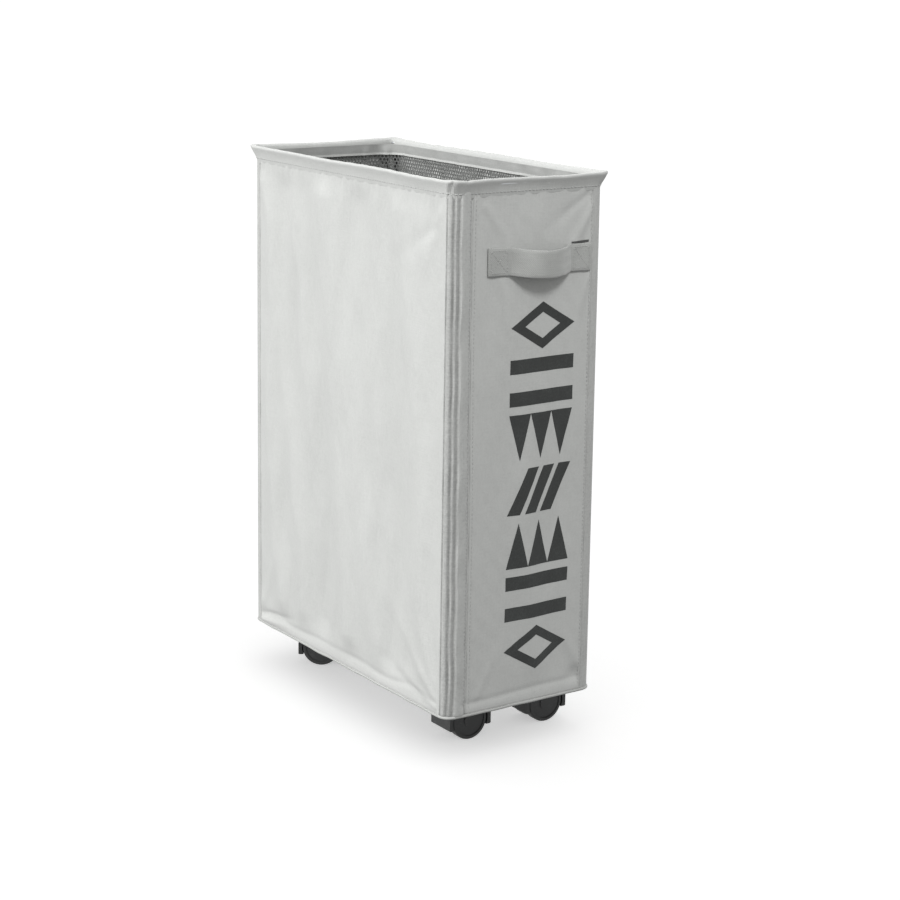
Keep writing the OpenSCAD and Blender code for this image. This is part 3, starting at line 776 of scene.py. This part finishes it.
def from_corner(run, shift, corners):
    """Distance along the perimeter to the nearest of some corners, with run moved on by shift."""
    half = TOTAL / 2
    return np.min([np.abs(np.mod(run - (MARKS[2 * k + 1] + LEN_C / 2) + shift + half, TOTAL) - half)
                   for k in corners], 0)


def hem_point(u, out, z):
    """A point of the hem: the loop's offset outward and its height, with the corners' flare and pinch."""
    u, out, z = grids(u, out, z)
    run = np.interp(np.mod(u, 8), np.arange(9.0), MARKS)
    upper = step((z - HEM_Z - 3) / 9)
    tip = np.exp(-(from_corner(run, 0, range(4)) / 6.5) ** 2)
    # a diagonal ridge with a groove behind it, at the sleeves' overlaps
    slant = 0.44 * (RIM_Z - z)
    ridge = np.exp(-(from_corner(run, slant + 2.6, (1, 3)) / 1.7) ** 2)
    ridge = ridge - 1.2 * np.exp(-(from_corner(run, slant - 0.6, (1, 3)) / 1.6) ** 2)
    d = upper * (np.maximum(0.5 * ripple(run, 91, 95, 5), -0.5) + 1.9 * tip)
    d = d + (1 - upper) * (-0.9 * tip + 0.22 * ripple(run, 92, 17, 6))
    d = d + 1.15 * ridge * step((out + 0.5) / 1.0) * step((RIM_Z - z + 1) / 4)
    lift = 0.42 * ripple(run, 93, 120, 5) + 0.12 * ripple(run, 95, 24, 5) + 0.7 * tip
    lift = lift - 0.75 * np.exp(-((run - 4) / 3.0) ** 2) - 0.4 * np.exp(-((run - 118) / 14.0) ** 2)
    size = RIM_HX + out, RIM_HY + out, np.maximum(RIM_R + out, 1.2)
    return on_ring(u, size, d, z + lift * upper)


def hem_columns(k):
    """Columns from corner to corner, closer together round the corners."""
    a = 2 * k
    length = MARKS[a + 1] - MARKS[a]
    ends = spaced(0, 14 / length, 2 / length)
    mid = spaced(14 / length, 1 - 14 / length, 3.4 / length)[1:-1]
    flat = np.concatenate([ends, mid, 1 - ends[::-1]])
    turn = np.linspace(0.5, 1, 6)[:-1]
    return a + np.concatenate([turn - 1, flat, 1 + np.linspace(0, 0.5, 6)[1:]])


HEM_RUN = run_of(HEM_LOOP)
for k, side in enumerate(("front", "right", "back", "left")):
    cols = hem_columns(k)
    pts = hem_point(cols[:, None], HEM_LOOP[None, :, 0], HEM_LOOP[None, :, 1])
    run = np.interp(cols, np.arange(-1.0, 9.0), np.concatenate([[-LEN_C], MARKS]))
    uvs = np.stack(np.broadcast_arrays(run[:, None], HEM_RUN[None]), -1).reshape(-1, 2)
    faces = loft_faces(len(cols), len(HEM_LOOP))
    obj = dress(make(f"{side}_rim_hem", pts.reshape(-1, 3), faces, HEM_CLOTH, uvs, angle=55),
                "hem_cloth", f"{side}_hem")

# ---- stitching on the bag

STITCH_Z, STITCH_OUT = HEM_Z + 5.0, 0.68
u = np.concatenate([hem_columns(k)[:-1] for k in range(4)])
line = hem_point(u, STITCH_OUT, STITCH_Z)
outward = hem_point(u, STITCH_OUT + 1.0, STITCH_Z) - line
outward /= np.linalg.norm(outward, axis=1, keepdims=True)
dress(stitch_rows("hem_stitching", [(line, outward)], THREAD), "hem_cloth")

zz = spaced(BAG_Z + 8, HEM_Z - 2, 4)
rows = []
for s in (SEAM_S - 2.6, SEAM_S + 4.2, LEN_F - EDGE_S - 1.8):
    for turn in (0, TOTAL / 2):
        ss = np.full_like(zz, s + turn)
        rows.append((wall(ss, zz, 0.05), normals_of(wall, ss, zz)))
dress(stitch_rows("sleeve_stitching", rows, THREAD, radius=0.34), "sleeve_cloth")

# ---- piping, underside and lining

PIPING_R = 1.5
PIPING_COUNTS = (60, 8, 110, 8) * 2     # points along each flat and corner
u = np.concatenate([np.linspace(i, i + 1, n, endpoint=False) for i, n in enumerate(PIPING_COUNTS)])
run = np.interp(u, np.arange(9.0), MARKS)
line = on_ring(u, (HALF_W + 0.2, HALF_L + 0.9, NOM_R), 0.22 * ripple(run, 101, 60, 5),
               BAG_Z + 1.6 + 0.2 * ripple(run, 102, 45, 5))
v, f, t, c = tube(line, PIPING_R, 10, closed=True)
dress(make("bottom_edge_piping", v, f, PIPING_CLOTH, t, c), "cloth", "bottom_piping")


def rounded(hx, hy, r, n=8):
    """Outline of a rounded rectangle about the middle of the bag."""
    out = []
    for sx, sy, a0 in ((1, -1, -90), (1, 1, 0), (-1, 1, 90), (-1, -1, 180)):
        for i in range(n + 1):
            a = math.radians(a0 + 90 * i / n)
            out.append((sx * (hx - r) + r * math.cos(a), sy * (hy - r) + r * math.sin(a)))
    return out


def circle(cx, cy, r, n=20):
    return [(cx + r * math.cos(2 * PI * i / n), cy + r * math.sin(2 * PI * i / n)) for i in range(n)]


STEM_HOLE_R = 6.15
stems = [sum(box_mm(f"stem_{corner}")) / 2 for corner in CORNERS]


def under(x, y):
    """The underside cloth, just below the board."""
    z = FLOOR_TOP - 0.35 - 0.25 * (1 + 0.6 * waves(x, y, 111, 70, 110, 5))
    return np.stack([x, y, z], -1), np.broadcast_to([0.0, 0.0, -1.0], (len(x), 3))


UNDER_X, UNDER_Y = HALF_W - 1.6, HALF_L - 1.2
holes = [circle(x, y, STEM_HOLE_R) for x, y, _ in stems]
v, f, t = plate(rounded(UNDER_X, UNDER_Y, 8), holes, under, 7.0, 0.0, WALL_T)
obj = dress(make("underside_cloth", v, f, CLOTH, t, angle=40), "cloth", "bag_floor")

LINING_LO, LINING_HI = box_mm("floor_lining")
pad_x, pad_y = LINING_HI[0], LINING_HI[1]
QUILT_LINES = (-pad_y / 3, pad_y / 3)


def pad_top(x, y):
    """Crowned top of the lining, sewn down along its edge and two lines across."""
    edge = np.minimum(pad_x - np.abs(x), pad_y - np.abs(y))
    seam = np.min([np.abs(y - k) for k in QUILT_LINES], 0)
    crown = 1.35 * step(edge / 9) * (0.35 + 0.65 * step(seam / 7))
    z = LINING_HI[2] - 0.6 + crown + 0.22 * waves(x, y, 121, 60, 90, 6) * step(edge / 12)
    stitched = np.exp(-((edge - 5.5) / 1.5) ** 2) * 0.5
    return np.stack([x, y, z - stitched], -1), np.broadcast_to([0.0, 0.0, 1.0], (len(x), 3))


v, f, t = plate(rounded(pad_x, pad_y, 33.5, 14), [], pad_top, 4.5, -1.3, 1.3)
v[len(v) // 2:, 2] = LINING_LO[2] + 0.05     # its underside is flat
obj = dress(make("lining_pad", v, f, LINING_CLOTH, t, angle=60), "lining", "floor_lining")

# ---- collar and net

COL_HX, COL_HY, COL_R = HALF_W - 5.0, HALF_L - 7.0, 24.0
COL_LEN = [2 * (COL_HX - COL_R), PI / 2 * COL_R, 2 * (COL_HY - COL_R), PI / 2 * COL_R]
COL_MARKS = marks(COL_LEN * 2)
# upright folds: nearest mark, distance past it and depth
COL_FOLDS = ((2, 26, 1.7), (2, 40, 1.2), (4, -14, 1.9), (4, 12, 1.5), (6, 30, 1.4), (7, 16, 1.3))
BAND_LO, BAND_HI = box_mm("collar_band")
NET_LO, _ = box_mm("mesh_collar")
BAND_Z = BAND_LO[2] + 3.5      # the band's bound lower edge


def collar(s, z):
    """The loose collar inside the rim. It hangs a little in, with soft folds that grow downward."""
    s, z = grids(s, z)
    k = np.clip((BAND_HI[2] - z) / (BAND_HI[2] - NET_LO[2]), 0, 1)
    u = np.interp(np.mod(s, COL_MARKS[-1]), COL_MARKS, np.arange(9.0))
    d = -step(k / 0.25) * (1.1 + 1.0 * waves(s, z, 131, 70, 420, 6))
    d = d - 0.45 * step(k / 0.05) * (1 + waves(s, z, 132, 26, 160, 6))
    for mark, shift, depth in COL_FOLDS:
        d = d - depth * step(k / 0.06) * np.exp(-((s - (COL_MARKS[mark] + shift)) / 4.2) ** 2)
    return on_ring(u, (COL_HX - 1.6 * k, COL_HY - 2.0 * k, COL_R), d, z)


def loop_strip(z0, z1, gap, thick, rows):
    """A closed band of the collar, from z0 up to z1: verts, quads, uvs."""
    n = int(round(COL_MARKS[-1] / gap))
    s = np.arange(n) * COL_MARKS[-1] / n
    z = np.linspace(z0, z1, rows)
    ss, zz = np.meshgrid(s, z)
    p, nor = collar(ss, zz), normals_of(collar, ss, zz)
    outer, inner = p + nor * thick / 2, p - nor * thick / 2
    m = rows * n
    idx = np.arange(m).reshape(rows, n)
    nxt = np.roll(idx, -1, 1)
    quads = np.stack([idx[:-1], nxt[:-1], nxt[1:], idx[1:]], -1).reshape(-1, 4)
    ends = [np.stack([nxt[0], idx[0], idx[0] + m, nxt[0] + m], -1),
            np.stack([idx[-1], nxt[-1], nxt[-1] + m, idx[-1] + m], -1)]
    faces = np.concatenate([quads, quads[:, ::-1] + m, *ends])
    uv = np.stack([ss.ravel(), zz.ravel()], -1)
    return np.concatenate([outer.reshape(-1, 3), inner.reshape(-1, 3)]), faces, np.concatenate([uv, uv])


v, f, t = loop_strip(BAND_Z, BAND_HI[2] - 0.5, 2.2, 0.9, rows=8)
band = dress(make("collar_band_cloth", v, f, COLLAR_CLOTH, t, angle=60), "collar_cloth", "collar_band")
v, f, t = loop_strip(BAND_Z - 1.3, BAND_Z + 1.0, 2.2, 1.7, rows=3)
bead = dress(make("collar_binding", v, f, CLOTH, t, angle=60), "collar_cloth")
v, f, t = loop_strip(NET_LO[2], NET_LO[2] + 8, 2.6, 1.3, rows=4)
net_binding = dress(make("net_binding", v, f, COLLAR_CLOTH, t, angle=60), "collar_cloth")


def net(pitch=4.3, open_share=0.74, thick=0.5):
    """Knitted net with six-sided holes: verts, faces, uvs, the yarn's share of its area, and its height."""
    cells = int(round(COL_MARKS[-1] / pitch))
    pitch = COL_MARKS[-1] / cells
    rise = pitch * math.sqrt(3) / 2
    big = pitch / math.sqrt(3)
    top, bottom = BAND_Z - 0.4, NET_LO[2] + 6
    rows_n = int((top - bottom) / rise)
    ang = np.radians(90 + 60 * np.arange(6))
    hexa = np.stack([np.cos(ang), np.sin(ang)], -1)
    ii, jj = np.meshgrid(np.arange(cells), np.arange(rows_n))
    cx = (ii + 0.5 * (jj % 2)).ravel() * pitch
    cz = top - big - jj.ravel() * rise
    outer = np.stack([cx, cz], -1)[:, None] + hexa[None] * big
    inner = np.stack([cx, cz], -1)[:, None] + hexa[None] * big * open_share
    flat = outer.reshape(-1, 2)
    # corners that three cells share, found by their places on a grid of half cells
    column = np.mod(np.round(flat[:, 0] / (pitch / 2)).astype(int), 2 * cells)
    key = np.stack([column, np.round(flat[:, 1] / (big / 2)).astype(int)], -1)
    _, first, back = np.unique(key, axis=0, return_index=True, return_inverse=True)
    shared = flat[first]
    back = back.reshape(-1, 6)
    pts = np.concatenate([shared, inner.reshape(-1, 2)])
    n_shared, n = len(shared), len(shared) + inner.shape[0] * 6
    inn = n_shared + np.arange(inner.shape[0] * 6).reshape(-1, 6)
    quads = np.stack([back, np.roll(back, -1, 1), np.roll(inn, -1, 1), inn], -1).reshape(-1, 4)
    walls = np.stack([inn, np.roll(inn, -1, 1), np.roll(inn, -1, 1) + n, inn + n], -1).reshape(-1, 4)
    nor = normals_of(collar, pts[:, 0], pts[:, 1])
    mid = collar(pts[:, 0], pts[:, 1])
    bulge = np.where(np.arange(n) < n_shared, 1.0, 0.55)[:, None]
    verts = np.concatenate([mid + nor * thick / 2 * bulge, mid - nor * thick / 2 * bulge])
    rim = np.array(border(zip(back.ravel().tolist(), np.roll(back, -1, 1).ravel().tolist())))
    ends = np.stack([rim[:, 1], rim[:, 0], rim[:, 0] + n, rim[:, 1] + n], -1)
    faces = np.concatenate([quads, quads[:, ::-1] + n, walls, ends])
    return verts, faces, np.concatenate([pts, pts]), 1 - open_share ** 2, top - bottom


v, f, t, net_share, net_height = net()
obj = dress(make("hanging_net", v, f, NET, t, angle=35), "mesh", "mesh_collar")

# ---- handles

STRAP_T = 1.9       # the webbing's thickness
SPAN = 36.0         # half of its free length


def strap_section():
    """Section across the webbing, as (place from -1 to 1, height): flat faces and round thick edges."""
    across = np.linspace(-0.955, 0.955, 9)
    edge = [(0.985, STRAP_T * 0.42), (1.0, 0.0), (0.985, -STRAP_T * 0.42)]
    outer = [(a, STRAP_T / 2 * (1 + 0.1 * abs(a) ** 6)) for a in across]
    inner = [(a, -STRAP_T / 2) for a in across[::-1]]
    return np.array(outer + edge + inner + [(-a, -h) for a, h in edge])


def strap(name, node, turn):
    """Bowed webbing, sewn down at both ends. turn is 0 on the front face, half the perimeter on the back."""
    lo, hi = box_mm(node)
    if turn:
        lo, hi = -hi * (1, 1, -1), -lo * (1, 1, -1)
        lo[2], hi[2] = hi[2], lo[2]
    mid, half = (lo[0] + hi[0]) / 2, (hi[0] - lo[0]) / 2
    bow = hi[1] - lo[1] - STRAP_T
    wide, zc = hi[2] - lo[2], (lo[2] + hi[2]) / 2
    xs = np.concatenate([spaced(-half, -SPAN, 2.5), spaced(-SPAN, SPAN, 2.0)[1:-1], spaced(SPAN, half, 2.5)])

    def centre(x, across):
        """Middle surface of the strap, at x along it and across its width from -1 to 1."""
        t = np.clip(np.abs(x) / SPAN, 0, 1)
        off = bow * (1 - t ** 2.1) ** 1.12
        lean = 0.9 * np.sin(PI * (1 - t) / 2) * across
        z = zc - 1.2 * x / half - 2.4 * (1 - t ** 2) + across * wide / 2 * (1 - 0.012 * (1 - t))
        s = front_s(x + mid, z)
        rest = 0.35 + STRAP_T / 2
        base, nor = wall(s + turn, z), normals_of(wall, s + turn, z)
        away = step((1 - t) * 3)[..., None]
        out = np.zeros_like(nor)
        out[..., 1] = 1.0 if turn else -1.0
        nor = nor * (1 - away) + out * away
        nor /= np.linalg.norm(nor, axis=-1, keepdims=True)
        cup = -0.35 * across ** 2 * (1 - t)
        return base + nor * (off + rest + lean + cup)[..., None], nor

    section = strap_section()
    xx, aa = np.meshgrid(xs, section[:, 0], indexing="ij")
    p, nor = centre(xx, aa)
    thick = np.broadcast_to(section[:, 1], xx.shape)
    fold_over = 1 - 0.55 * step((np.abs(xx) - half + 2.2) / 2.2)
    # the local normal of the bowed strip, from its own slope
    e = 0.5
    tan = centre(xx + e, aa)[0] - centre(xx - e, aa)[0]
    up = centre(xx, np.clip(aa + 0.05, -1.1, 1.1))[0] - centre(xx, aa - 0.05)[0]
    own = np.cross(tan, up)
    own /= np.linalg.norm(own, axis=-1, keepdims=True)
    own *= np.sign((own * nor).sum(-1, keepdims=True))
    verts = (p + own * (thick * fold_over)[..., None]).reshape(-1, 3)
    run = run_of(centre(xs, 0 * xs)[0])
    uvs = np.stack(np.broadcast_arrays(run[:, None], section[None, :, 0] * wide / 2), -1).reshape(-1, 2)
    dress(make(name, verts, loft_faces(len(xs), len(section)), STRAP, uvs, angle=50), "webbing", node)
    # box and cross of stitches at each end
    rows = []
    for side in (-1, 1):
        x0, x1 = side * (half - 3.0), side * (SPAN + 3.5)
        p, q, r, t = (x0, -0.78), (x1, -0.78), (x1, 0.78), (x0, 0.78)
        for (xa, aa), (xb, ab) in ((p, q), (q, r), (r, t), (t, p), (p, r), (t, q)):
            k = np.linspace(0, 1, 14)
            line, nor = centre(xa + (xb - xa) * k, aa + (ab - aa) * k)
            rows.append((line + nor * (STRAP_T / 2 + 0.05), nor))
    dress(stitch_rows(name + "_stitching", rows, THREAD, pitch=3.4, length=2.6, radius=0.36), "webbing")


strap("front_strap", "front_handle", 0.0)
strap("back_strap", "back_handle", TOTAL / 2)

# ---- print

PRINT_LO, PRINT_HI = box_mm("front_print")
print_w = PRINT_HI[0] - PRINT_LO[0]
print_x = (PRINT_HI[0] + PRINT_LO[0]) / 2
BLOCKS, BLOCK_H, STROKE = 7, 46.0, 14.0
block_pitch = (PRINT_HI[2] - PRINT_LO[2] - BLOCK_H) / (BLOCKS - 1)


def block_shapes(i):
    """Polygons of one printed block, about its centre: (outline, holes)."""
    w, h = print_w / 2, BLOCK_H / 2
    if i in (0, BLOCKS - 1):
        outer, inner = [[(-w * k, 0), (0, -h * k), (w * k, 0), (0, h * k)]
                        for k in (1, 1 - 0.72 * STROKE / h)]
        return [(outer, [inner])]
    if i in (1, BLOCKS - 2):
        return [([(-w, c - STROKE / 2), (w, c - STROKE / 2), (w, c + STROKE / 2), (-w, c + STROKE / 2)], [])
                for c in (STROKE / 2 - h, h - STROKE / 2)]
    if i == 3:
        left = [k * (print_w - h - STROKE) / 2 - w for k in range(3)]
        return [([(x, -h), (x + STROKE, -h), (x + STROKE + h, h), (x + h, h)], []) for x in left]
    up, gap = (1 if i < 3 else -1), print_w / 3
    return [([(x - gap / 2, -up * h), (x + gap / 2, -up * h), (x, up * h)], []) for x in (-gap, 0, gap)]


def on_face(x, z, turn=0.0):
    """Place and normal at (x, z) on the front face, or turned round to the back one."""
    s = front_s(x, z) + turn
    return wall(s, z), normals_of(wall, s, z)


def moved(poly, dx, dz):
    return [(x + dx, z + dz) for x, z in poly]


plates = []
for i in range(BLOCKS):
    middle = print_x, PRINT_LO[2] + BLOCK_H / 2 + i * block_pitch
    for outline, holes in block_shapes(i):
        holes = [moved(h, *middle) for h in holes]
        plates.append(plate(moved(outline, *middle), holes, on_face, 2.6, 0.02, 0.2))
v, f, t = join(plates)
dress(make("print_blocks", v, f, INK, t, angle=40), "ink", "front_print")

# a thin dark plate on the cloth above the right-hand patch: painted shadow of the gap between the strap's end
# and the wall
GAP_SHADOW = plastic("painted_gap_shadow", (0.07, 0.071, 0.07), rough=0.9)
_, strap_hi = box_mm("front_handle")
gap_shadow_outline = moved([(-10.5, -2.6), (10, -0.6), (10.4, 1.6), (-10.8, 0.8)], strap_hi[0] - 12.5, strap_hi[2] + 0.2)
for name, turn in (("front_gap_shadow", 0.0), ("back_gap_shadow", TOTAL / 2)):
    v, f, t = plate(gap_shadow_outline, [], functools.partial(on_face, turn=turn), 2.2, 0.03, 0.25)
    dress(make(name, v, f, GAP_SHADOW, t, angle=40), "webbing")

# ---- finishes of the CAD pieces

FINISHES = (
    ("hood_", HOOD), (("near_wheel_", "far_wheel_"), WHEEL), (("socket_", "rod_caps"), CAP),
    (("stem_", "axle_", "grip_ring_"), STEEL), (("rim_wire", "corner_rod_"), WIRE), ("base_board", BOARD))
for node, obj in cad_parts.items():
    for start, mat in FINISHES:
        if node.startswith(start):
            obj.data.materials.clear()
            obj.data.materials.append(mat)

# ---- floor, light and world

FAR = 60            # half of the floor, in metres
floor_mat = Nodes("floor", (0.93, 0.93, 0.93), **shader(
    Roughness=0.9, Emission_Color=(1, 1, 1, 1), Emission_Strength=0.46)).mat
floor_mesh = bpy.data.meshes.new("floor")
floor_mesh.from_pydata([(-FAR, -FAR, 0), (FAR, -FAR, 0), (FAR, FAR, 0), (-FAR, FAR, 0)], [], [(0, 1, 2, 3)])
floor_mesh.materials.append(floor_mat)
floor = bpy.data.objects.new("floor", floor_mesh)
floor.visible_diffuse = False
bpy.context.scene.collection.objects.link(floor)


def add_world(above, below):
    """White studio surround, brighter from above than from below."""
    world = bpy.data.worlds.new("world")
    bpy.context.scene.world = world
    world.use_nodes = True
    tree = world.node_tree
    split = tree.nodes.new("ShaderNodeSeparateXYZ")
    tree.links.new(tree.nodes.new("ShaderNodeTexCoord").outputs["Generated"], split.inputs[0])
    level = tree.nodes.new("ShaderNodeMapRange")
    level.interpolation_type = "SMOOTHSTEP"
    for key, value in (("From Min", -0.35), ("From Max", 0.35), ("To Min", below), ("To Max", above)):
        level.inputs[key].default_value = value
    tree.links.new(split.outputs["Z"], level.inputs["Value"])
    tree.links.new(level.outputs["Result"], tree.nodes["Background"].inputs["Strength"])
    tree.nodes["Background"].inputs["Color"].default_value = (1, 1, 1, 1)


def area_light(name, at, aim, size, power):
    """A square lamp; places and size in metres, power in watts."""
    data = bpy.data.lights.new(name, "AREA")
    data.shape, data.size, data.energy = "SQUARE", size, power
    obj = bpy.data.objects.new(name, data)
    obj.location = at
    obj.rotation_euler = (Vector(aim) - Vector(at)).to_track_quat("-Z", "Y").to_euler()
    bpy.context.scene.collection.objects.link(obj)
    return obj


add_world(0.66, 0.28)
lights = [area_light("key", (-3.55, 0.55, 1.95), (0, 0, 0.3), 1.5, 178),
          area_light("top", (-0.25, -2.1, 2.7), (0, -0.19, 0.4), 0.7, 56),
          area_light("fill", (2.9, 2.4, 1.9), (0, 0, 0.3), 2.0, 75)]
unlit = bpy.data.collections.new("not lit by the lamps")
unlit.objects.link(floor)
for light in lights:
    light.light_linking.receiver_collection = unlit
unlit.collection_objects[0].light_linking.link_state = "EXCLUDE"
bpy.context.scene.view_settings.view_transform = "Standard"
